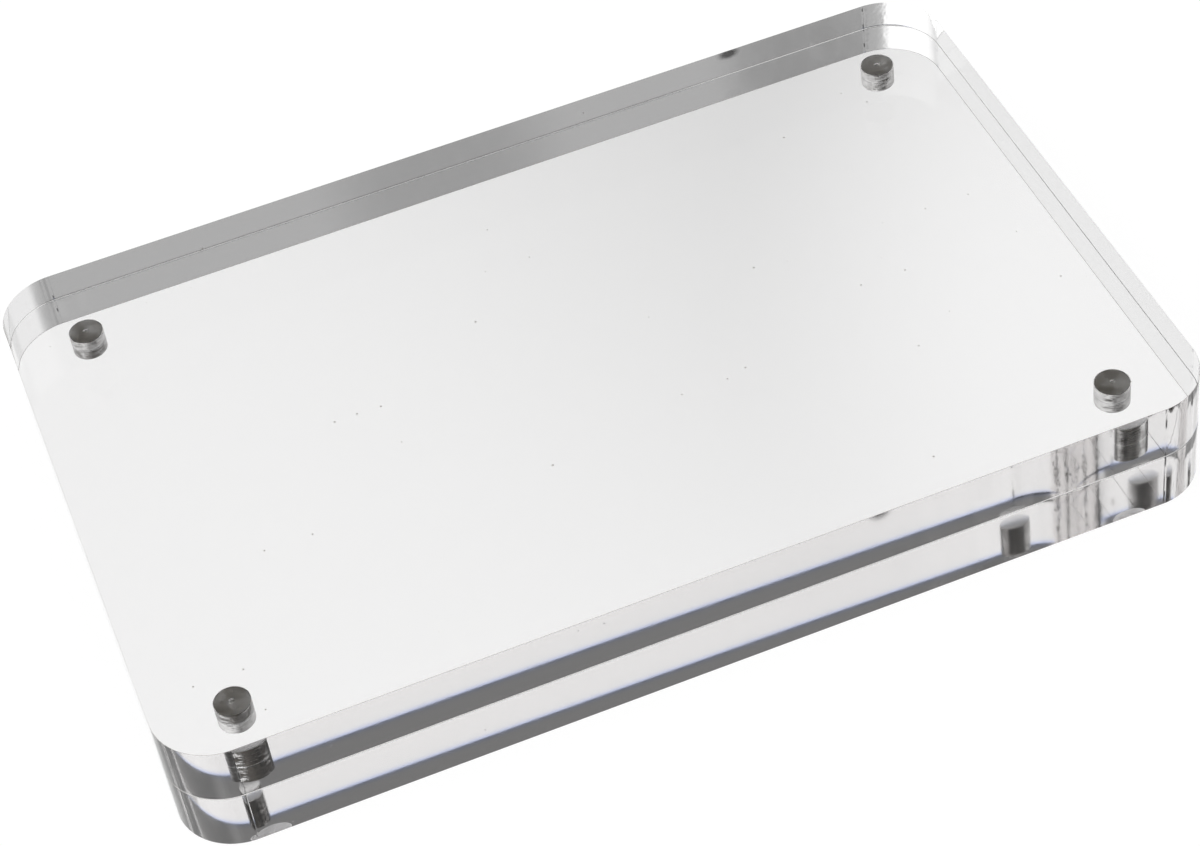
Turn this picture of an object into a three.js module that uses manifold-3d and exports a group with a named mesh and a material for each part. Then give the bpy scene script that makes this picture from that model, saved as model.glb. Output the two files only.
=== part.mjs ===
// Magnetic acrylic photo frame: two clear blocks that hold a print between them, closed by
// four pairs of disc magnets bonded into blind bores in the inner faces.
// Millimetres, +Z up. The frame lies on its back, and the origin is the centre of the rear
// block's outer face. X runs along the length, Y towards the frame's top edge.

import * as THREE from 'three';
import { mergeVertices } from 'three/addons/utils/BufferGeometryUtils.js';
import Module from 'manifold-3d';

// Acrylic blocks, cut from cast sheet, whose thickness varies from sheet to sheet, and polished
const BLOCK_LENGTH = 153;
const BLOCK_WIDTH = 101;
const REAR_BLOCK_THICKNESS = 9.65;
const FRONT_BLOCK_THICKNESS = 9.35;
const CORNER_RADIUS = 9;
const EDGE_BREAK = 0.1;
const CORNER_STEPS = 8;

// Air that the magnets leave between the two inner faces, where a print slips in
const FACE_GAP = 0.1;

// Nickel plated disc magnets
const MAGNET_DIAMETER = 5;
const MAGNET_THICKNESS = 3;
const MAGNET_EDGE_RADIUS = 0.2;
const MAGNET_INSET_X = 11.4;
const MAGNET_INSET_Y = 11;

// Blind bores with a flat floor, a small corner left by the cutter and its centre mark
const MAGNET_CLEARANCE = 0.1;
const BORE_CORNER_RADIUS = 0.15;
const CENTRE_MARK_DIAMETER = 0.8;
const CENTRE_MARK_DEPTH = 0.2;
const ROUND_STEPS = 32;
const EDGE_STEPS = 2;

// Cured adhesive pad between each magnet and its bore floor
const ADHESIVE_THICKNESS = 0.3;
const ADHESIVE_EDGE_RADIUS = 0.12;

// How far a bore cutter stands out of the face that it opens
const CUTTER_OVERRUN = 1;

// Each magnet stands proud by half the gap, so that the two of a pair meet face to face
const MAGNET_PROUD = FACE_GAP / 2;
const BORE_DEPTH = ADHESIVE_THICKNESS + MAGNET_THICKNESS - MAGNET_PROUD;
const BORE_RADIUS = MAGNET_DIAMETER / 2 + MAGNET_CLEARANCE;
const ADHESIVE_RADIUS = BORE_RADIUS - MAGNET_CLEARANCE;
const MAGNET_X = BLOCK_LENGTH / 2 - MAGNET_INSET_X;
const MAGNET_Y = BLOCK_WIDTH / 2 - MAGNET_INSET_Y;

const wasm = await Module();
wasm.setup();

function toSolid(geometry) {
  const bare = geometry.clone();
  bare.deleteAttribute('normal');
  bare.deleteAttribute('uv');
  const merged = mergeVertices(bare);
  return new wasm.Manifold(new wasm.Mesh({
    numProp: 3,
    vertProperties: new Float32Array(merged.attributes.position.array),
    triVerts: new Uint32Array(merged.index.array),
  }));
}

function toGeometry(solid) {
  const mesh = solid.getMesh();
  const geometry = new THREE.BufferGeometry();
  geometry.setAttribute('position', new THREE.BufferAttribute(mesh.vertProperties, 3));
  geometry.setIndex(new THREE.BufferAttribute(mesh.triVerts, 1));
  geometry.computeVertexNormals();
  return geometry;
}

// Points on a quarter circle in a turned profile, from one angle to another
function arc(radius, height, size, from, to) {
  return Array.from({ length: EDGE_STEPS + 1 }, (_, step) => {
    const angle = THREE.MathUtils.lerp(from, to, step / EDGE_STEPS);
    return new THREE.Vector2(radius + size * Math.cos(angle), height + size * Math.sin(angle));
  });
}

// A turned body about Z, from a profile of radius and height that starts and ends on the axis
function turned(profile) {
  return new THREE.LatheGeometry(profile, ROUND_STEPS).rotateX(Math.PI / 2);
}

// A flat disc between two heights, with both of its edges rounded
function disc(radius, low, high, edge) {
  return turned([
    new THREE.Vector2(0, low),
    ...arc(radius - edge, low + edge, edge, -Math.PI / 2, 0),
    ...arc(radius - edge, high - edge, edge, 0, Math.PI / 2),
    new THREE.Vector2(0, high),
  ]);
}

// One half of the frame lies below its inner face, which is at height zero
function blockOutline() {
  const x = BLOCK_LENGTH / 2 - CORNER_RADIUS;
  const y = BLOCK_WIDTH / 2 - CORNER_RADIUS;
  const outline = new THREE.Shape();
  outline.absarc(x, y, CORNER_RADIUS, 0, Math.PI / 2);
  outline.absarc(-x, y, CORNER_RADIUS, Math.PI / 2, Math.PI);
  outline.absarc(-x, -y, CORNER_RADIUS, Math.PI, 1.5 * Math.PI);
  outline.absarc(x, -y, CORNER_RADIUS, 1.5 * Math.PI, 2 * Math.PI);
  outline.closePath();
  return outline;
}

function boreCutter() {
  return turned([
    new THREE.Vector2(0, -BORE_DEPTH - CENTRE_MARK_DEPTH),
    new THREE.Vector2(CENTRE_MARK_DIAMETER / 2, -BORE_DEPTH),
    ...arc(BORE_RADIUS - BORE_CORNER_RADIUS, BORE_CORNER_RADIUS - BORE_DEPTH,
      BORE_CORNER_RADIUS, -Math.PI / 2, 0),
    new THREE.Vector2(BORE_RADIUS, CUTTER_OVERRUN),
    new THREE.Vector2(0, CUTTER_OVERRUN),
  ]);
}

const CORNERS = [
  { x: -1, y: 1 },
  { x: 1, y: 1 },
  { x: -1, y: -1 },
  { x: 1, y: -1 },
];

function blockGeometry(thickness) {
  const slab = new THREE.ExtrudeGeometry(blockOutline(), {
    depth: thickness - 2 * EDGE_BREAK,
    curveSegments: CORNER_STEPS,
    bevelThickness: EDGE_BREAK,
    bevelSize: EDGE_BREAK,
    bevelOffset: -EDGE_BREAK,
    bevelSegments: 1,
  }).translate(0, 0, EDGE_BREAK - thickness);
  let block = toSolid(slab);
  for (const corner of CORNERS) {
    const cutter = boreCutter().translate(corner.x * MAGNET_X, corner.y * MAGNET_Y, 0);
    block = block.subtract(toSolid(cutter));
  }
  return toGeometry(block);
}

function magnetGeometry() {
  return disc(MAGNET_DIAMETER / 2, MAGNET_PROUD - MAGNET_THICKNESS, MAGNET_PROUD, MAGNET_EDGE_RADIUS);
}

function adhesiveGeometry() {
  return disc(ADHESIVE_RADIUS, -BORE_DEPTH, ADHESIVE_THICKNESS - BORE_DEPTH, ADHESIVE_EDGE_RADIUS);
}

const clearAcrylic = () => new THREE.MeshStandardMaterial({
  color: 0xf2f5f5, roughness: 0.03, metalness: 0, transparent: true, opacity: 0.35,
});
const nickelPlate = () => new THREE.MeshStandardMaterial({
  color: 0xa9a59e, roughness: 0.3, metalness: 1,
});
const clearAdhesive = () => new THREE.MeshStandardMaterial({
  color: 0xe6e4dc, roughness: 0.2, metalness: 0, transparent: true, opacity: 0.5,
});

function piece(name, geometry, material) {
  const mesh = new THREE.Mesh(geometry, material);
  mesh.name = name;
  return mesh;
}

// A corner's name as it reads on the standing frame. The front half is turned over about X,
// so its corners swap top and bottom.
function cornerName(corner, turnedOver) {
  const top = turnedOver ? corner.y < 0 : corner.y > 0;
  const left = corner.x < 0;
  return `${top ? 'top' : 'bottom'}_${left ? 'left' : 'right'}`;
}

function half(prefix, thickness, turnedOver) {
  const group = new THREE.Group();
  group.add(piece(`${prefix}_block`, blockGeometry(thickness), clearAcrylic()));
  for (const corner of CORNERS) {
    const where = cornerName(corner, turnedOver);
    const seat = new THREE.Group();
    seat.position.set(corner.x * MAGNET_X, corner.y * MAGNET_Y, 0);
    seat.add(piece(`${prefix}_magnet_${where}`, magnetGeometry(), nickelPlate()));
    seat.add(piece(`${prefix}_adhesive_${where}`, adhesiveGeometry(), clearAdhesive()));
    group.add(seat);
  }
  return group;
}

const rearHalf = half('rear', REAR_BLOCK_THICKNESS, false);
rearHalf.position.z = REAR_BLOCK_THICKNESS;

const frontHalf = half('front', FRONT_BLOCK_THICKNESS, true);
frontHalf.rotation.x = Math.PI;
frontHalf.position.z = REAR_BLOCK_THICKNESS + FACE_GAP;

const frame = new THREE.Group();
frame.add(rearHalf, frontHalf);

export default frame;
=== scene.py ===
import math

import bmesh
import bpy
from mathutils import Matrix, Vector


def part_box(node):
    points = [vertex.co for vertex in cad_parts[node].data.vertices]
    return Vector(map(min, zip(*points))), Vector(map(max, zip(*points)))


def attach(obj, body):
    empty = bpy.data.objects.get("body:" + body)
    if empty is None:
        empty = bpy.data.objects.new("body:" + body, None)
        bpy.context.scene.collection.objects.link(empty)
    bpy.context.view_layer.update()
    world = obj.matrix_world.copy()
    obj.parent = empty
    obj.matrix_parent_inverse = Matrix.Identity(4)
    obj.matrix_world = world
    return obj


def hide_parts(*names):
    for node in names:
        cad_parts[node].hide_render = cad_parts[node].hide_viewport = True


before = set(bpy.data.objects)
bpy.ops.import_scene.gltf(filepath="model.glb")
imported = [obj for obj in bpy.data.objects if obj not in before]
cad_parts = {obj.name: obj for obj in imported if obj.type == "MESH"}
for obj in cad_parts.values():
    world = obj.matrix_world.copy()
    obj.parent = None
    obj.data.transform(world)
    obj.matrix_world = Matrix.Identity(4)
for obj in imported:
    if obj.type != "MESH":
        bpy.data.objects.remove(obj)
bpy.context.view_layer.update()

# Acrylic blocks, rear and front. Each is cut from clear cast sheet, routed to a rounded outline,
# polished, and bored from its inner face for four magnets. The router left upright chatter round
# the corners and a line where it dwelt beside each one, and the bores show the cutter's rings.
MM = 0.001
CORNERS = ("top_left", "top_right", "bottom_left", "bottom_right")
WELD = 1e-6


def linear(hex_colour):
    values = [int(hex_colour[i:i + 2], 16) / 255 for i in (1, 3, 5)]
    return [v / 12.92 if v <= 0.04045 else ((v + 0.055) / 1.055) ** 2.4 for v in values] + [1]


def grey(level):
    return (level, level, level, 1)


def node(tree, kind, sockets=None, **settings):
    new = tree.nodes.new(kind)
    for key, value in settings.items():
        setattr(new, key, value)
    by_identifier = {plug.identifier: plug for plug in new.inputs}
    for socket, value in (sockets or {}).items():
        plug = by_identifier[socket] if socket in by_identifier else new.inputs[socket]
        if isinstance(value, bpy.types.NodeSocket):
            tree.links.new(value, plug)
        else:
            plug.default_value = value
    return new


def maths(tree, operation, *values):
    return node(tree, "ShaderNodeMath", dict(enumerate(values)), operation=operation).outputs[0]


def vectors(tree, operation, *values):
    return node(tree, "ShaderNodeVectorMath", dict(enumerate(values)),
                operation=operation).outputs[0]


def scaled(tree, vector, size):
    return node(tree, "ShaderNodeVectorMath", {0: vector, "Scale": size},
                operation="SCALE").outputs[0]


def split(tree, vector):
    return node(tree, "ShaderNodeSeparateXYZ", {0: vector}).outputs


def combined(tree, **parts):
    return node(tree, "ShaderNodeCombineXYZ", parts).outputs[0]


def mapped(tree, value, before=(0, 1), after=(0, 1), smooth=False):
    return node(tree, "ShaderNodeMapRange", {
        "Value": value, "From Min": before[0], "From Max": before[1],
        "To Min": after[0], "To Max": after[1]},
        interpolation_type="SMOOTHSTEP" if smooth else "LINEAR").outputs[0]


def noise(tree, place, pitch=1.0, detail=0.0, roughness=0.5):
    return node(tree, "ShaderNodeTexNoise", {
        "Vector": place, "Scale": 1 / pitch, "Detail": detail, "Roughness": roughness}).outputs[0]


def blend(tree, share, first, second):
    return node(tree, "ShaderNodeMix", {
        "Factor_Float": share, "A_Color": first, "B_Color": second}, data_type="RGBA").outputs[2]


def ramp(tree, value, stops):
    new = node(tree, "ShaderNodeValToRGB", {"Fac": value})
    elements = new.color_ramp.elements
    elements[0].position, elements[0].color = stops[0]
    elements[1].position, elements[1].color = stops[-1]
    for position, colour in stops[1:-1]:
        elements.new(position).color = colour
    return new.outputs["Color"]


def new_material(name):
    material = bpy.data.materials.new(name)
    material.use_nodes = True
    material.node_tree.nodes.clear()
    return material, material.node_tree


def object_place(tree):
    return node(tree, "ShaderNodeTexCoord").outputs["Object"]


def stretched(tree, place, scale):
    return node(tree, "ShaderNodeMapping", {"Vector": place, "Scale": scale}).outputs[0]


def attribute(tree, name):
    return node(tree, "ShaderNodeAttribute", attribute_name=name).outputs["Fac"]


def from_gap(tree, z, gap_height):
    return maths(tree, "ABSOLUTE", maths(tree, "SUBTRACT", z, gap_height))


ACRYLIC_IOR = 1.49
ACRYLIC_TINT = "#8a7f7b"
ACRYLIC_DENSITY = 2.8


def clear_body(tree, colour, cover, roughness):
    # Clear all through, and grey only over its whole length. What covers it is opaque.
    shader = node(tree, "ShaderNodeBsdfPrincipled", {
        "Base Color": colour, "Metallic": cover, "Roughness": roughness, "IOR": ACRYLIC_IOR,
        "Transmission Weight": 1.0})
    inside = node(tree, "ShaderNodeVolumeAbsorption", {
        "Color": linear(ACRYLIC_TINT), "Density": ACRYLIC_DENSITY})
    node(tree, "ShaderNodeOutputMaterial", {
        "Surface": shader.outputs["BSDF"], "Volume": inside.outputs["Volume"]})


# Specks: their spacing, the share of places without one, the largest one's size as a share of
# the spacing, and their roughness
SPECK_PITCH = 16 * MM
SPECK_FREE = 0.7
SPECK_SIZE = 0.011
SPECK_ROUGHNESS = 0.3
# Each face is shifted along the pattern by this many times its height, so that no two match
FACE_SHIFT = 71
# Left part of the far edge, where the edge breaks are painted darker as shade and the dried polish
# lies: where it starts and where it is in full
FAR_LEFT = (48 * MM, 30 * MM)
# Dried polish: where the far rim starts, how near the gap it is, and how much it covers
RIM_START = 50.2 * MM
RIM_HEIGHT = 1 * MM
RIM_COVER = 0.3


def clear_acrylic(gap_height):
    # Cast face as it left the glass mould: flat and dead clear, with a speck of dust or a nick
    # here and there that shows as a dark point. Polish dried along the far rim of the inner
    # faces, so that the joint hardly shows there.
    material, tree = new_material("acrylic_cast_face")
    x, y, z = split(tree, object_place(tree))
    other_face = maths(tree, "MULTIPLY_ADD", z, FACE_SHIFT, x)
    cells = node(tree, "ShaderNodeTexVoronoi", {
        "Vector": combined(tree, X=other_face, Y=y), "Scale": 1 / SPECK_PITCH},
        voronoi_dimensions="2D").outputs
    lot = node(tree, "ShaderNodeSeparateColor", {0: cells["Color"]}).outputs[0]
    size = mapped(tree, lot, (SPECK_FREE, 1), (0, SPECK_SIZE))
    speck = maths(tree, "LESS_THAN", cells["Distance"], size)
    tint = blend(tree, speck, linear("#ffffff"), linear("#8d8884"))
    matt = maths(tree, "MULTIPLY", speck, SPECK_ROUGHNESS)
    rim = maths(tree, "GREATER_THAN", y, RIM_START)
    inner = maths(tree, "COMPARE", z, gap_height, RIM_HEIGHT)
    far_rim = maths(tree, "MULTIPLY", rim, inner)
    run = mapped(tree, x, FAR_LEFT, (0, RIM_COVER), smooth=True)
    dried = maths(tree, "MULTIPLY", far_rim, run)
    clear_body(tree, blend(tree, dried, tint, linear("#e0e0e0")), dried, matt)
    return material


# Dark in the joint, partly grime and partly painted shade of the gap: where it starts and is in full
# to the right, how near the gap it starts and is in full, and how it varies along the right-hand
# side, from the near end to the far corner
# Dark colour for the burn marks, the dark patch and the joint, where it is partly grime and partly
# painted shade of the gap
GRIME_AND_SHADE = "#1f1d1c"
GRIME_AND_SHADE_RIGHT = (66.5 * MM, 68.5 * MM)
GRIME_AND_SHADE_HEIGHT = (0.3 * MM, 0.2 * MM)
GRIME_AND_SHADE_LENGTH = (-50 * MM, 50 * MM)
SIDE_END = 0.55
BARE = (0.75, 0.965)
CORNER_FULL = 0.985


def joint_grime_and_shade(tree, place, gap_height, right_side):
    # How dark the joint is at the far right corner and down the right-hand side: partly grime,
    # partly painted shade of the gap
    x, y, z = split(tree, place)
    stops = [(SIDE_END, grey(right_side))] + [(stop, grey(0)) for stop in BARE]
    joint_darkness = ramp(tree, mapped(tree, y, GRIME_AND_SHADE_LENGTH), stops + [(CORNER_FULL, grey(1))])
    right = mapped(tree, x, GRIME_AND_SHADE_RIGHT)
    in_joint = mapped(tree, from_gap(tree, z, gap_height), GRIME_AND_SHADE_HEIGHT, smooth=True)
    return maths(tree, "MULTIPLY", joint_darkness, maths(tree, "MULTIPLY", right, in_joint))


# Dark patch high on the front block's far edge: its middle, its half sizes, the shares of
# these at which it starts and is in full, and how much it covers
DARK_PATCH_PLACE = (44.5 * MM, 50.5 * MM, 17.8 * MM)
DARK_PATCH_SIZE = (2.8 * MM, 2.8 * MM, 3.1 * MM)
DARK_PATCH_FADE = (1.0, 0.25)
DARK_PATCH_COVER = 0.9
# Share of the right-hand joint's grime and painted shade that reaches the wall, and how the wheel
# drew out its haze
WALL_GRIME_AND_SHADE = 0.35
WHEEL_STRETCH = (1, 1, 0.2)


def buffed_acrylic(gap_height):
    # Routed edge, buffed: clear, but a trace less true than the cast faces, so that what lies far
    # behind it goes soft. The cutter burnt it where it dwelt. It is dark in a patch high on the
    # front block's far edge, and in the right-hand joint, partly grime and partly painted shade of
    # the gap.
    # The blue at its far foot stands in for the colours that acrylic splits.
    material, tree = new_material("acrylic_buffed_edge")
    fringe = blend(tree, attribute(tree, "far_edge"), linear("#ffffff"), linear("#9db6ff"))
    place = object_place(tree)
    wheel = stretched(tree, place, WHEEL_STRETCH)
    buffed = noise(tree, wheel, pitch=1.5 * MM, detail=3.0, roughness=0.6)
    haze = mapped(tree, buffed, after=(0.02, 0.08))
    reach = [1 / size for size in DARK_PATCH_SIZE]
    from_dark_patch = node(tree, "ShaderNodeMapping", {
        "Vector": place, "Scale": reach,
        "Location": [-at * scale for at, scale in zip(DARK_PATCH_PLACE, reach)]}).outputs[0]
    away = node(tree, "ShaderNodeVectorMath", {0: from_dark_patch}, operation="LENGTH").outputs["Value"]
    dark_patch = mapped(tree, away, DARK_PATCH_FADE, (0, DARK_PATCH_COVER), smooth=True)
    patch_and_burn = maths(tree, "MAXIMUM", dark_patch, attribute(tree, "burn"))
    # The joint is darkened here, partly as grime and partly as painted shade of the gap
    dark = maths(tree, "MAXIMUM", patch_and_burn, joint_grime_and_shade(tree, place, gap_height, WALL_GRIME_AND_SHADE))
    clear_body(tree, blend(tree, dark, fringe, linear(GRIME_AND_SHADE)), dark, haze)
    return material


# Where the far edge starts, and the share of the right-hand joint's grime and painted shade on the
# edge breaks
FAR_EDGE = 49.5 * MM
EDGE_GRIME_AND_SHADE = 1.0


def scraped_acrylic(gap_height):
    # Edge break scraped by hand and left dull: a thin grey line, pale over a dark ground and dark
    # over a pale one. On the left part of the far edge its grey is darker, which is painted shade,
    # and in the right-hand joint it is dark, partly grime and partly painted shade.
    material, tree = new_material("acrylic_scraped_edge")
    place = object_place(tree)
    scrape = noise(tree, place, pitch=1.2 * MM, detail=4.0, roughness=0.65)
    frost = mapped(tree, scrape, after=(0.35, 0.75))
    x, y = split(tree, place)[:2]
    far = maths(tree, "GREATER_THAN", y, FAR_EDGE)
    # Painted shade: the edge break's grey darkens along the left part of the far edge
    far_left_shade = maths(tree, "MULTIPLY", far, mapped(tree, x, FAR_LEFT, smooth=True))
    dull_and_shade = blend(tree, far_left_shade, linear("#b4b0ab"), linear("#77736f"))
    # The joint is darkened here, partly as grime and partly as painted shade of the gap
    grime_and_shade = joint_grime_and_shade(tree, place, gap_height, EDGE_GRIME_AND_SHADE)
    cover = mapped(tree, grime_and_shade, after=(0.7, 1.0))
    clear_body(tree, blend(tree, grime_and_shade, dull_and_shade, linear(GRIME_AND_SHADE)), cover, frost)
    return material


# Adhesive on a bore's wall: the depths between which it starts at the mouth and ends at the
# floor, how far it is held off there, how much more lies on the low side, least and most dose
MOUTH_DEPTH = (0.08 * MM, 0.2 * MM)
FLOOR_DEPTH = (3.22 * MM, 3.28 * MM)
HELD_OFF = -0.6
LOW_SIDE_SHARE = 0.05
DOSE = (-0.06, 0.07)
STREAK_STRETCH = (1, 1, 7)
WET_TONES = [
    # wetness, colour
    (0.22, "#ffffff"), (0.25, "#746f69"), (0.53, "#746f69"), (0.555, "#2a2624"),
    (0.62, "#4a4641"), (0.78, "#5f5a54"),
]
WET_COVERS = [
    # wetness, how opaque
    (0.22, 0), (0.25, 0.3), (0.53, 0.3), (0.555, 1),
]


def bored_acrylic(gap_height):
    # Cutter finish, scored and dulled, that adhesive wets in patches: from above the dry wall is
    # a satin mirror, from the edge it shows the magnet, and each wet patch has a darker outline.
    # More ran to the side that was lowest while it cured. The floor and the mouth stay clean.
    material, tree = new_material("acrylic_bored_wall")
    place = object_place(tree)
    depth = from_gap(tree, split(tree, place)["Z"], gap_height)
    mouth = mapped(tree, depth, MOUTH_DEPTH, (HELD_OFF, 0), smooth=True)
    bottom = mapped(tree, depth, FLOOR_DEPTH, (0, HELD_OFF), smooth=True)
    squashed = stretched(tree, place, STREAK_STRETCH)
    streaks = noise(tree, squashed, pitch=1.5 * MM, detail=6.0, roughness=0.7)
    low_side = attribute(tree, "low_side")
    pooled = maths(tree, "MULTIPLY_ADD", low_side, LOW_SIDE_SHARE, streaks)
    run = maths(tree, "ADD", pooled, mapped(tree, attribute(tree, "adhesive_dose"), after=DOSE))
    wetness = maths(tree, "ADD", maths(tree, "ADD", run, mouth), bottom)
    tone = ramp(tree, wetness, [(stop, linear(shade)) for stop, shade in WET_TONES])
    cover = ramp(tree, wetness, [(stop, grey(share)) for stop, share in WET_COVERS])
    shader = node(tree, "ShaderNodeBsdfPrincipled", {
        "Base Color": tone, "Metallic": cover, "Roughness": 0.28, "IOR": ACRYLIC_IOR,
        "Transmission Weight": 1.0})
    node(tree, "ShaderNodeOutputMaterial", {"Surface": shader.outputs["BSDF"]})
    return material


EDGE_BREAK = 0.03 * MM
WALL_STEPS = 30


def wall_section(thickness):
    rise = thickness - 2 * EDGE_BREAK
    wall = [(0, EDGE_BREAK - thickness + rise * step / WALL_STEPS)
            for step in range(WALL_STEPS + 1)]
    return [(-EDGE_BREAK, -thickness)] + wall + [(-EDGE_BREAK, 0)]


BORE_RADIUS = 2.6 * MM
BORE_CORNER_RADIUS = 0.15 * MM
BORE_CORNER_STEPS = 4
RING_PITCH = 0.65 * MM
RING_DEPTH = 0.014 * MM
STEPS_PER_RING = 8
CENTRE_MARK_RADIUS = 0.4 * MM
CENTRE_MARK_DEPTH = 0.2 * MM


def bore_section(depth):
    wall = depth - BORE_CORNER_RADIUS
    count = round(wall / RING_PITCH * STEPS_PER_RING)
    section = []
    for step in range(count + 1):
        drop = wall * step / count
        ring = (1 - math.cos(2 * math.pi * drop / RING_PITCH)) / 2
        section.append((-RING_DEPTH * ring, -drop))
    for step in range(1, BORE_CORNER_STEPS + 1):
        turn = math.radians(90) * step / BORE_CORNER_STEPS
        section.append((-BORE_CORNER_RADIUS * (1 - math.cos(turn)),
                        -wall - BORE_CORNER_RADIUS * math.sin(turn)))
    return section + [(CENTRE_MARK_RADIUS - BORE_RADIUS, -depth),
                      (-BORE_RADIUS, -depth - CENTRE_MARK_DEPTH)]


def drawn_sections(name, wall, bore):
    mesh = bpy.data.meshes.new(name)
    points = [(across, -up, 0) for across, up in wall + bore]
    edges = [(i, i + 1) for i in range(len(points) - 1) if i + 1 != len(wall)]
    mesh.from_pydata(points, edges, [])
    in_bore = [False] * len(wall) + [True] * len(bore)
    mesh.attributes.new("bore", "BOOLEAN", "POINT").data.foreach_set("value", in_bore)
    return mesh


def new_tree(name, inputs, output):
    tree = bpy.data.node_groups.new(name, "GeometryNodeTree")
    for kind, titles in inputs.items():
        for title in titles:
            tree.interface.new_socket(title, in_out="INPUT", socket_type=f"NodeSocket{kind}")
    tree.interface.new_socket(output, in_out="OUTPUT", socket_type="NodeSocketGeometry")
    return tree, node(tree, "NodeGroupInput").outputs


def compared(tree, operation, first, second):
    return node(tree, "FunctionNodeCompare", {0: first, 1: second},
                operation=operation).outputs[0]


def counted(tree, count):
    # Edges that have this many faces
    neighbours = node(tree, "GeometryNodeInputMeshEdgeNeighbors").outputs[0]
    return node(tree, "FunctionNodeCompare", {2: neighbours, 3: count},
                data_type="INT", operation="EQUAL").outputs[0]


def logic(tree, operation, *values):
    return node(tree, "FunctionNodeBooleanMath", dict(enumerate(values)),
                operation=operation).outputs[0]


def flag(tree, name):
    return node(tree, "GeometryNodeInputNamedAttribute", {"Name": name},
                data_type="BOOLEAN").outputs[0]


def stored(tree, geometry, name, value, kind, domain, **more):
    return node(tree, "GeometryNodeStoreNamedAttribute", {
        "Geometry": geometry, "Name": name, "Value": value, **more},
        data_type=kind, domain=domain).outputs[0]


def welded(tree, geometry):
    return node(tree, "GeometryNodeMergeByDistance", {
        "Geometry": geometry, "Distance": WELD}).outputs[0]


def joined(tree, *parts):
    new = node(tree, "GeometryNodeJoinGeometry")
    for part in parts:
        tree.links.new(part, new.inputs[0])
    return new.outputs[0]


def flipped(tree, mesh):
    return node(tree, "GeometryNodeFlipFaces", {"Mesh": mesh}).outputs[0]


def swept(tree, path, section):
    return node(tree, "GeometryNodeCurveToMesh", {
        "Curve": path, "Profile Curve": section}).outputs[0]


def to_curve(tree, mesh, **chosen):
    return node(tree, "GeometryNodeMeshToCurve", {"Mesh": mesh, **chosen}).outputs[0]


def real(tree, geometry):
    return node(tree, "GeometryNodeRealizeInstances", {"Geometry": geometry}).outputs[0]


def four_corners(tree, given):
    return node(tree, "GeometryNodeMeshGrid", {
        "Size X": given["Spread X"], "Size Y": given["Spread Y"],
        "Vertices X": 2, "Vertices Y": 2}).outputs[0]


def crisp_edges(tree, geometry, angle):
    smooth = node(tree, "GeometryNodeSetShadeSmooth", {
        "Geometry": geometry, "Shade Smooth": True}).outputs[0]
    bend = node(tree, "GeometryNodeInputMeshEdgeAngle").outputs[0]
    return node(tree, "GeometryNodeSetShadeSmooth", {
        "Geometry": smooth, "Selection": compared(tree, "GREATER_THAN", bend, angle),
        "Shade Smooth": False}, domain="EDGE").outputs[0]


CORNER_RADIUS = 9 * MM
CORNER_STEPS = 192
BORE_STEPS = 96
FRINGE_HEIGHT = 1.1 * MM
UPRIGHT_LEAN = 0.1
# Chatter grows from the near left corner, which is calm, to the far right one, which is rough
CHATTER = [
    # pitch round the corner, pitch up the wall, depth
    (1.1 * MM, 3 * MM, 0.02 * MM),
    (0.5 * MM, 0.8 * MM, 0.014 * MM),
]
CALM_CORNER = 0.03
ROUGH_CORNER = 3.5
ROUGH_POWER = 3
# Dwell lines: the share of the corner radius that they take, their depth and their burn marks
DWELL_SPAN = 0.04
DWELL_DEPTH = 0.008 * MM
BURN_PITCH = (3 * MM, 3 * MM, 2.5 * MM)
BURN_FADE = (0.5, 0.62)
CRISP_ANGLE = math.radians(25)
STRAIGHT = 0.001


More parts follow.
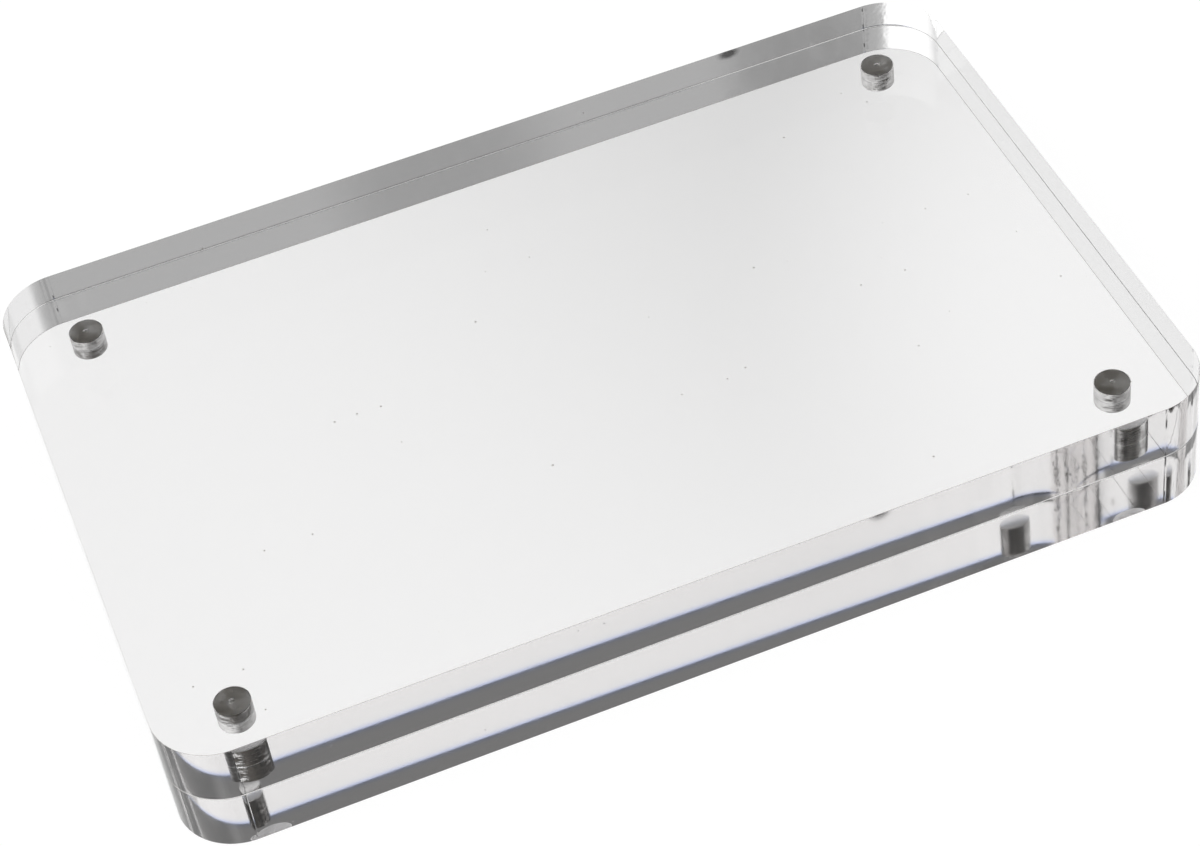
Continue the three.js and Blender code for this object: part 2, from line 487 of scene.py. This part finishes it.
def bored_block_tree():
    tree, given = new_tree("bored_block", {
        "Geometry": ("Sections",),
        "Float": ("Length", "Width", "Thickness", "Corner Radius", "Bore Radius", "Spread X",
                  "Spread Y", "Fringe Level", "Fringe Side", "Turn", "Height"),
        "Int": ("Adhesive Seed",),
        "Material": ("Cast Face", "Buffed Edge", "Scraped Edge", "Bored Wall")}, "Block")
    place = node(tree, "GeometryNodeInputPosition").outputs[0]
    x, y, z = split(tree, place)
    side = maths(tree, "MULTIPLY", y, given["Fringe Side"])
    rim = counted(tree, 1)

    # Edge wall, swept round the outline: its breaks lean, and the fringe is on its far side
    drawn = node(tree, "GeometryNodeSeparateGeometry", {
        0: given["Sections"], 1: flag(tree, "bore")}, domain="POINT").outputs
    square = node(tree, "GeometryNodeCurvePrimitiveQuadrilateral", {
        "Width": given["Length"], "Height": given["Width"]}).outputs[0]
    outline = node(tree, "GeometryNodeFilletCurve", {
        "Curve": square, "Count": CORNER_STEPS, "Radius": given["Corner Radius"]},
        mode="POLY").outputs[0]
    bare_wall = flipped(tree, swept(tree, outline, to_curve(tree, drawn[1])))
    off_level = maths(tree, "SUBTRACT", z, given["Fringe Level"])
    strength = mapped(tree, maths(tree, "ABSOLUTE", off_level), (FRINGE_HEIGHT, 0))
    straight_end = maths(tree, "MULTIPLY_ADD", given["Width"], 0.5, -CORNER_RADIUS)
    far = maths(tree, "GREATER_THAN", side, straight_end)
    fringe = maths(tree, "MULTIPLY", strength, far)
    lean = split(tree, node(tree, "GeometryNodeInputNormal").outputs[0])["Z"]
    face_lean = node(tree, "GeometryNodeFieldOnDomain", {0: lean},
                     data_type="FLOAT", domain="FACE").outputs[0]
    upright = maths(tree, "COMPARE", face_lean, 0.0, UPRIGHT_LEAN)
    fringed = stored(tree, bare_wall, "far_edge", fringe, "FLOAT", "CORNER", Selection=upright)
    breaks = logic(tree, "NOT", upright)
    marked_breaks = stored(tree, fringed, "edge_break", breaks, "BOOLEAN", "FACE")
    wall = stored(tree, marked_breaks, "edge_wall", True, "BOOLEAN", "FACE")

    # Bores: one is turned, then copied to the four corners, each with its own dose of adhesive
    circle = node(tree, "GeometryNodeCurvePrimitiveCircle", {
        "Resolution": BORE_STEPS, "Radius": given["Bore Radius"]}).outputs[0]
    turned = welded(tree, flipped(tree, swept(tree, circle, to_curve(tree, drawn[0]))))
    across = maths(tree, "DIVIDE", side, given["Bore Radius"])
    lowest = maths(tree, "MULTIPLY", across, -1.0)
    leaned = stored(tree, turned, "low_side", lowest, "FLOAT", "POINT")
    marked = stored(tree, leaned, "bore_wall", True, "BOOLEAN", "FACE")
    dose = node(tree, "FunctionNodeRandomValue", {
        "Min_001": 0.0, "Max_001": 1.0, "Seed": given["Adhesive Seed"]},
        data_type="FLOAT").outputs[1]
    dosed = stored(tree, four_corners(tree, given), "adhesive_dose", dose, "FLOAT", "POINT")
    bores = real(tree, node(tree, "GeometryNodeInstanceOnPoints", {
        "Points": dosed, "Instance": marked}).outputs[0])

    # Outer face, and the inner face round the mouths of the bores
    middle = maths(tree, "MULTIPLY", given["Thickness"], -0.5)
    high = compared(tree, "GREATER_THAN", z, middle)
    outer_rim = to_curve(tree, wall, Selection=logic(tree, "NIMPLY", rim, high))
    inner_rim = to_curve(tree, wall, Selection=logic(tree, "AND", rim, high))
    mouths = to_curve(tree, bores, Selection=rim)
    flat = node(tree, "GeometryNodeFillCurve", {"Curve": outer_rim}, mode="NGONS").outputs[0]
    down = maths(tree, "MULTIPLY", given["Thickness"], -1.0)
    outer = node(tree, "GeometryNodeTransform", {
        "Geometry": flipped(tree, flat), "Translation": combined(tree, Z=down)}).outputs[0]
    inner = node(tree, "GeometryNodeFillCurve", {"Curve": joined(tree, inner_rim, mouths)},
                 mode="TRIANGLES").outputs[0]
    solid = welded(tree, joined(tree, wall, outer, inner, bores))

    # How far each point lies round a corner, from 0 on the straights, and which way is inward
    reach = combined(tree, X=given["Length"], Y=given["Width"])
    round_in = combined(tree, X=given["Corner Radius"], Y=given["Corner Radius"])
    centre = vectors(tree, "SUBTRACT", scaled(tree, reach, 0.5), round_in)
    away = vectors(tree, "SUBTRACT", vectors(tree, "ABSOLUTE", place), centre)
    over = vectors(tree, "DIVIDE", vectors(tree, "MAXIMUM", away, (0, 0, 0)), round_in)
    over_x, over_y = split(tree, over)[:2]
    both = maths(tree, "MULTIPLY", over_x, over_y)
    flat_out = vectors(tree, "MULTIPLY", over, (-1, -1, 0))
    inward = vectors(tree, "MULTIPLY", vectors(tree, "SIGN", place), flat_out)

    # Chatter and dwell lines, cut into the corners, and burn marks in the dwell lines
    nearer = maths(tree, "MINIMUM", over_x, over_y)
    groove = maths(tree, "SINE", mapped(tree, nearer, (0, DWELL_SPAN), (0, math.pi)))
    dwell = maths(tree, "MULTIPLY", groove, DWELL_DEPTH)
    cuts = []
    for round_pitch, up_pitch, deep in CHATTER:
        pitches = (1 / round_pitch, 1 / round_pitch, 1 / up_pitch)
        ripple = noise(tree, vectors(tree, "MULTIPLY", place, pitches))
        cuts.append(maths(tree, "MULTIPLY", ripple, deep))
    marks = maths(tree, "ADD", *cuts)
    course = maths(tree, "ADD", x, side)
    most = maths(tree, "ADD", given["Length"], given["Width"])
    share = maths(tree, "ADD", maths(tree, "DIVIDE", course, most), 0.5)
    late = maths(tree, "POWER", share, ROUGH_POWER)
    wear = mapped(tree, late, after=(CALM_CORNER, ROUGH_CORNER))
    worn = maths(tree, "MULTIPLY", maths(tree, "POWER", both, 0.5), wear)
    depth = maths(tree, "MULTIPLY_ADD", marks, worn, dwell)
    patches = noise(tree, vectors(tree, "DIVIDE", place, BURN_PITCH), detail=2.0)
    burn = maths(tree, "MULTIPLY", groove, mapped(tree, patches, BURN_FADE, smooth=True))
    browned = stored(tree, solid, "burn", burn, "FLOAT", "POINT")
    routed = node(tree, "GeometryNodeSetPosition", {
        "Geometry": browned, "Offset": scaled(tree, inward, depth)}).outputs[0]

    # Placed and dressed: the straights are shaded flat, so that they stay true
    placed = node(tree, "GeometryNodeTransform", {
        "Geometry": routed, "Translation": combined(tree, Z=given["Height"]),
        "Rotation": combined(tree, X=given["Turn"])}).outputs[0]
    crisp = crisp_edges(tree, real(tree, placed), CRISP_ANGLE)
    no_turn = compared(tree, "LESS_THAN", both, STRAIGHT)
    straight_wall = logic(tree, "AND", flag(tree, "edge_wall"), no_turn)
    true_wall = node(tree, "GeometryNodeSetShadeSmooth", {
        "Geometry": crisp, "Selection": straight_wall, "Shade Smooth": False},
        domain="FACE").outputs[0]
    dressed = node(tree, "GeometryNodeSetMaterial", {
        "Geometry": true_wall, "Material": given["Cast Face"]}).outputs[0]
    finishes = (("edge_wall", "Buffed Edge"), ("edge_break", "Scraped Edge"),
                ("bore_wall", "Bored Wall"))
    for part, finish in finishes:
        dressed = node(tree, "GeometryNodeSetMaterial", {
            "Geometry": dressed, "Selection": flag(tree, part),
            "Material": given[finish]}).outputs[0]
    node(tree, "NodeGroupOutput", {"Block": dressed})
    return tree


def grown(name, start, tree, sizes):
    piece = bpy.data.objects.new(name, start)
    bpy.context.scene.collection.objects.link(piece)
    modifier = piece.modifiers.new(name, "NODES")
    modifier.node_group = tree
    for socket in tree.interface.items_tree:
        if socket.in_out == "INPUT" and socket.name in sizes:
            modifier[socket.identifier] = sizes[socket.name]
    graph = bpy.context.evaluated_depsgraph_get()
    mesh = bpy.data.meshes.new_from_object(piece.evaluated_get(graph))
    piece.modifiers.clear()
    piece.data = mesh
    return piece


REAR_SEED = 15
FRONT_SEED = 33
gap_height = (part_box("rear_block")[1].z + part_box("front_block")[0].z) / 2
cast_face = clear_acrylic(gap_height)
buffed_edge = buffed_acrylic(gap_height)
scraped_edge = scraped_acrylic(gap_height)
bored_wall = bored_acrylic(gap_height)
block_tree = bored_block_tree()
for body, turned_over, adhesive_seed in (("rear", False, REAR_SEED), ("front", True, FRONT_SEED)):
    low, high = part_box(f"{body}_block")
    pad_low, pad_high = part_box(f"{body}_adhesive_bottom_left")
    far_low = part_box(f"{body}_adhesive_top_right")[0]
    thickness = high.z - low.z
    bore_depth = pad_high.z - low.z if turned_over else high.z - pad_low.z
    sections = drawn_sections(f"{body}_block_sections", wall_section(thickness),
                              bore_section(bore_depth))
    block = grown(f"{body}_block_acrylic", sections, block_tree, {
        "Length": high.x - low.x, "Width": high.y - low.y, "Thickness": thickness,
        "Corner Radius": CORNER_RADIUS, "Bore Radius": BORE_RADIUS,
        "Spread X": far_low.x - pad_low.x, "Spread Y": far_low.y - pad_low.y,
        "Fringe Level": 0.0 if turned_over else -thickness,
        "Fringe Side": -1.0 if turned_over else 1.0,
        "Turn": math.pi if turned_over else 0.0, "Height": low.z if turned_over else high.z,
        "Adhesive Seed": adhesive_seed, "Cast Face": cast_face, "Buffed Edge": buffed_edge,
        "Scraped Edge": scraped_edge, "Bored Wall": bored_wall})
    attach(block, body)
    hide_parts(f"{body}_block")

# Disc magnets, four to a block, bonded into the bores. Sintered neodymium, plated with bright
# nickel that shows fine scuffs, and each partner meets its opposite face to face.
DISC_STEPS = 96
EDGE_STEPS = 5
FLAT_ANGLE = math.radians(10)


def disc_set_tree():
    tree, given = new_tree("discs_in_four_bores", {
        "Float": ("Radius", "Thickness", "Edge Radius", "Spread X", "Spread Y", "Height"),
        "Int": ("Seed",), "Material": ("Material",)}, "Discs")
    section = node(tree, "GeometryNodeCurvePrimitiveQuadrilateral", {
        "Width": given["Radius"], "Height": given["Thickness"]}).outputs[0]
    across = split(tree, node(tree, "GeometryNodeInputPosition").outputs[0])["X"]
    at_rim = maths(tree, "GREATER_THAN", across, 0.0)
    rounded = node(tree, "GeometryNodeFilletCurve", {
        "Curve": section, "Count": EDGE_STEPS,
        "Radius": maths(tree, "MULTIPLY", at_rim, given["Edge Radius"])}, mode="POLY").outputs[0]
    circle = node(tree, "GeometryNodeCurvePrimitiveCircle", {
        "Resolution": DISC_STEPS,
        "Radius": maths(tree, "MULTIPLY", given["Radius"], 0.5)}).outputs[0]
    merged = welded(tree, swept(tree, circle, rounded))
    disc = node(tree, "GeometryNodeDeleteGeometry", {
        "Geometry": merged, "Selection": counted(tree, 0)},
        domain="EDGE", mode="EDGE_FACE").outputs[0]
    spin = node(tree, "FunctionNodeRandomValue", {
        "Min_001": 0.0, "Max_001": 2 * math.pi, "Seed": given["Seed"]},
        data_type="FLOAT").outputs[1]
    four = node(tree, "GeometryNodeInstanceOnPoints", {
        "Points": four_corners(tree, given), "Instance": disc,
        "Rotation": combined(tree, Z=spin)}).outputs[0]
    raised = node(tree, "GeometryNodeTransform", {
        "Geometry": four, "Translation": combined(tree, Z=given["Height"])}).outputs[0]
    crisp = crisp_edges(tree, real(tree, raised), FLAT_ANGLE)
    dressed = node(tree, "GeometryNodeSetMaterial", {
        "Geometry": crisp, "Material": given["Material"]}).outputs[0]
    node(tree, "NodeGroupOutput", {"Discs": dressed})
    return tree


MAGNET_EDGE_RADIUS = 0.1 * MM
SCRATCH_TURN = (0, 0, 0.6)
SCRATCH_STRETCH = (1, 9, 9)
SCRATCH_DEPTH = 0.01 * MM
FLANK_LEAN = 0.5
SOIL_FADE = (0.68, 0.6)
disc_tree = disc_set_tree()
# Bright nickel plate: a warm grey mirror, dulled by tumbling marks and fine handling scratches.
# Adhesive and swarf that dried on the sides leave them dark, with bare metal in level streaks.
nickel, tree = new_material("nickel_plate_bright")
place = object_place(tree)
clouds = noise(tree, place, pitch=0.9 * MM, detail=4.0, roughness=0.6)
plate = blend(tree, clouds, linear("#cdc8bf"), linear("#e4dfd6"))
dulled = mapped(tree, clouds, after=(0.4, 0.6))
drawn_out = node(tree, "ShaderNodeMapping", {
    "Vector": place, "Rotation": SCRATCH_TURN, "Scale": SCRATCH_STRETCH}).outputs[0]
hairs = noise(tree, drawn_out, pitch=1.2 * MM, detail=3.0, roughness=0.7)
scratched = node(tree, "ShaderNodeBump", {
    "Height": hairs, "Strength": 0.25, "Distance": SCRATCH_DEPTH}).outputs[0]
lean = split(tree, node(tree, "ShaderNodeNewGeometry").outputs["Normal"])["Z"]
flank = maths(tree, "LESS_THAN", maths(tree, "ABSOLUTE", lean), FLANK_LEAN)
levelled = stretched(tree, place, STREAK_STRETCH)
streaks = noise(tree, levelled, pitch=2 * MM, detail=6.0, roughness=0.75)
dried = maths(tree, "MULTIPLY", mapped(tree, streaks, SOIL_FADE, smooth=True), flank)
shader = node(tree, "ShaderNodeBsdfPrincipled", {
    "Base Color": blend(tree, dried, plate, linear("#332e2a")), "Metallic": 1.0,
    "Roughness": dulled, "Normal": scratched})
node(tree, "ShaderNodeOutputMaterial", {"Surface": shader.outputs["BSDF"]})
for seed, body in enumerate(("rear", "front")):
    low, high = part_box(f"{body}_magnet_bottom_left")
    far_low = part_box(f"{body}_magnet_top_right")[0]
    magnets = grown(f"{body}_magnets_plated", bpy.data.meshes.new("discs"), disc_tree, {
        "Radius": (high.x - low.x) / 2, "Thickness": high.z - low.z,
        "Edge Radius": MAGNET_EDGE_RADIUS,
        "Spread X": far_low.x - low.x, "Spread Y": far_low.y - low.y,
        "Height": (low.z + high.z) / 2, "Seed": seed, "Material": nickel})
    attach(magnets, body)
    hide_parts(*(f"{body}_magnet_{corner}" for corner in CORNERS))

# Adhesive pads, one under each magnet. Clear cured acrylic adhesive, squeezed thin by the magnet.
# Each is a hair thinner than its space, so that no two faces lie in the same place.
PAD_EDGE_RADIUS = 0.1 * MM
PAD_CLEARANCE = 0.02 * MM
ADHESIVE_IOR = 1.47
BLOOM_FADE = (0.35, 0.65)
BUBBLE_PITCH = 0.5 * MM
BUBBLE_FADE = (0.1, 0.25)
BUBBLE_DEPTH = 0.02 * MM
# Cured clear adhesive: faintly yellow, cloudy where air was trapped, glossy where it met the floor
cured, tree = new_material("adhesive_cured_clear")
place = object_place(tree)
cloud = noise(tree, place, pitch=2.6 * MM, detail=3.0, roughness=0.55)
blooms = mapped(tree, cloud, BLOOM_FADE, smooth=True)
wrinkled = mapped(tree, cloud, after=(0.1, 0.35))
bubbles = node(tree, "ShaderNodeTexVoronoi", {
    "Vector": place, "Scale": 1 / BUBBLE_PITCH}).outputs["Distance"]
pitted = node(tree, "ShaderNodeBump", {
    "Height": mapped(tree, bubbles, BUBBLE_FADE, smooth=True), "Strength": 0.3,
    "Distance": BUBBLE_DEPTH}).outputs[0]
shader = node(tree, "ShaderNodeBsdfPrincipled", {
    "Base Color": blend(tree, blooms, linear("#b3ada2"), linear("#ffffff")),
    "Roughness": wrinkled, "Transmission Weight": 0.8, "IOR": ADHESIVE_IOR, "Normal": pitted})
node(tree, "ShaderNodeOutputMaterial", {"Surface": shader.outputs["BSDF"]})
for seed, body in enumerate(("rear", "front")):
    low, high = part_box(f"{body}_adhesive_bottom_left")
    far_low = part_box(f"{body}_adhesive_top_right")[0]
    pads = grown(f"{body}_adhesive_pads", bpy.data.meshes.new("discs"), disc_tree, {
        "Radius": (high.x - low.x) / 2, "Thickness": high.z - low.z - 2 * PAD_CLEARANCE,
        "Edge Radius": PAD_EDGE_RADIUS,
        "Spread X": far_low.x - low.x, "Spread Y": far_low.y - low.y,
        "Height": (low.z + high.z) / 2, "Seed": seed, "Material": cured})
    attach(pads, body)
    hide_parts(*(f"{body}_adhesive_{corner}" for corner in CORNERS))

# Studio. A pale table top, seen white by the camera, that keeps the soft shadow of the blocks.
# Through the acrylic, the sweep round it shows: pale all round, with a few darker and lighter cards.
FLOOR_SIZE = 6.0
FLOOR_DROP = 0.05 * MM
FLOOR_SHADE = 0.12
FLOOR_GLOW = 0.92
bm = bmesh.new()
bmesh.ops.create_grid(bm, x_segments=1, y_segments=1, size=FLOOR_SIZE / 2)
floor_mesh = bpy.data.meshes.new("table_top")
bm.to_mesh(floor_mesh)
bm.free()
floor = bpy.data.objects.new("table_top", floor_mesh)
floor.location.z = -FLOOR_DROP
bpy.context.scene.collection.objects.link(floor)
# White table top: takes a soft shadow, and lets the sweep below show through the acrylic
material, tree = new_material("table_top_white")
ray = node(tree, "ShaderNodeLightPath").outputs
lit = node(tree, "ShaderNodeBsdfDiffuse", {"Color": grey(FLOOR_SHADE)})
glow = node(tree, "ShaderNodeEmission", {"Color": grey(1), "Strength": FLOOR_GLOW})
seen = node(tree, "ShaderNodeAddShader", {0: lit.outputs[0], 1: glow.outputs[0]})
clear = node(tree, "ShaderNodeBsdfTransparent")
through = maths(tree, "MAXIMUM", ray["Is Transmission Ray"], ray["Is Glossy Ray"])
mixed = node(tree, "ShaderNodeMixShader", {0: through, 1: seen.outputs[0], 2: clear.outputs[0]})
node(tree, "ShaderNodeOutputMaterial", {"Surface": mixed.outputs[0]})
floor.data.materials.append(material)

SWEEP = [
    # height over the horizon in degrees, level
    (-90, 1.06), (-52, 1.06), (-45, 0.935), (-39, 0.845), (-20, 0.95), (0, 1.0), (90, 1.0),
]
CARDS = [
    # heading from +Y towards +X in degrees, height in degrees, full within, gone beyond, level
    (-115, 0, 50, 85, 1.22),
    (-8, -46, 6, 22, 1.06),
    (33, -43, 3, 11, 1.1),
    (8, 48, 29, 41, 0.2),
    (52, 50, 12, 20, 0.08),
    (66, -50, 5, 9, 0.55),
    (172, 49, 11, 22, 0.2),
    (172, -41, 18, 32, 0.49),
    (168, -40.2, 0.6, 2.6, 0.37),
    (159, -39, 0.8, 1.9, 0.315),
    # The last three cards are painted shadow: the shade that the blocks cast on the table to their
    # right
    (88, -57, 7, 14, 0.4),
    (112, -57, 7, 14, 0.4),
    (136, -57, 7, 14, 0.4),
]
world = bpy.data.worlds.new("studio_sweep")
bpy.context.scene.world = world
world.use_nodes = True
tree = world.node_tree
tree.nodes.clear()
view = node(tree, "ShaderNodeTexCoord").outputs["Generated"]
ray = node(tree, "ShaderNodeLightPath").outputs
tall = mapped(tree, split(tree, view)["Z"], (-1, 1))
colour = ramp(tree, tall, [
    ((math.sin(math.radians(height)) + 1) / 2, grey(level)) for height, level in SWEEP])
for heading, height, full, gone, level in CARDS:
    a, e = math.radians(heading), math.radians(height)
    facing = (math.sin(a) * math.cos(e), math.cos(a) * math.cos(e), math.sin(e))
    angle = node(tree, "ShaderNodeVectorMath", {0: view, 1: facing},
                 operation="DOT_PRODUCT").outputs["Value"]
    limits = (math.cos(math.radians(gone)), math.cos(math.radians(full)))
    colour = blend(tree, mapped(tree, angle, limits, smooth=True), colour, grey(level))
sweep = node(tree, "ShaderNodeBackground", {"Color": colour, "Strength": 1.0})
white = node(tree, "ShaderNodeBackground", {"Color": grey(1), "Strength": 1.0})
either = node(tree, "ShaderNodeMixShader", {
    0: ray["Is Camera Ray"], 1: sweep.outputs[0], 2: white.outputs[0]})
node(tree, "ShaderNodeOutputWorld", {"Surface": either.outputs[0]})

LAMP_SIZE = 0.7
LAMP_POWER = 1.0
LAMP_PLACE = Vector((-0.35, 0.2, 0.9))
softbox = bpy.data.lights.new("softbox", "AREA")
softbox.size = LAMP_SIZE
softbox.energy = LAMP_POWER
lamp = bpy.data.objects.new("softbox", softbox)
lamp.location = LAMP_PLACE
lamp.rotation_euler = LAMP_PLACE.to_track_quat("Z", "Y").to_euler()
lamp.visible_glossy = False
lamp.visible_transmission = False
bpy.context.scene.collection.objects.link(lamp)

# Light crosses the acrylic many times before it leaves
BOUNCES = 40
scene = bpy.context.scene
scene.view_settings.view_transform = "Standard"
scene.cycles.max_bounces = BOUNCES
scene.cycles.transmission_bounces = BOUNCES
scene.cycles.glossy_bounces = BOUNCES
scene.cycles.transparent_max_bounces = BOUNCES

# Camera. A long lens, from the front and a little to the left, well above the table.
# Its place, roll and lens were solved from the straight edges in the photo.
CAMERA_AZIMUTH = math.radians(-14.799)
CAMERA_ELEVATION = math.radians(45.231)
CAMERA_ROLL = math.radians(-8.799)
CAMERA_DISTANCE = 463.0 * MM
CAMERA_LENS = 93.35
NEAREST, FARTHEST = 0.01, 20
AIM_RIGHT = 0.935 * MM
AIM_UP = 1.268 * MM
back = Vector((math.sin(CAMERA_AZIMUTH) * math.cos(CAMERA_ELEVATION),
               -math.cos(CAMERA_AZIMUTH) * math.cos(CAMERA_ELEVATION),
               math.sin(CAMERA_ELEVATION)))
level_right = Vector((math.cos(CAMERA_AZIMUTH), math.sin(CAMERA_AZIMUTH), 0))
level_up = back.cross(level_right)
right = math.cos(CAMERA_ROLL) * level_right + math.sin(CAMERA_ROLL) * level_up
up = math.cos(CAMERA_ROLL) * level_up - math.sin(CAMERA_ROLL) * level_right
lens = bpy.data.cameras.new("camera")
lens.lens = CAMERA_LENS
lens.clip_start = NEAREST
lens.clip_end = FARTHEST
camera = bpy.data.objects.new("camera", lens)
scene.collection.objects.link(camera)
stand = Matrix((right, up, back)).transposed().to_4x4()
stand.translation = back * CAMERA_DISTANCE + right * AIM_RIGHT + up * AIM_UP
camera.matrix_world = stand
scene.camera = camera
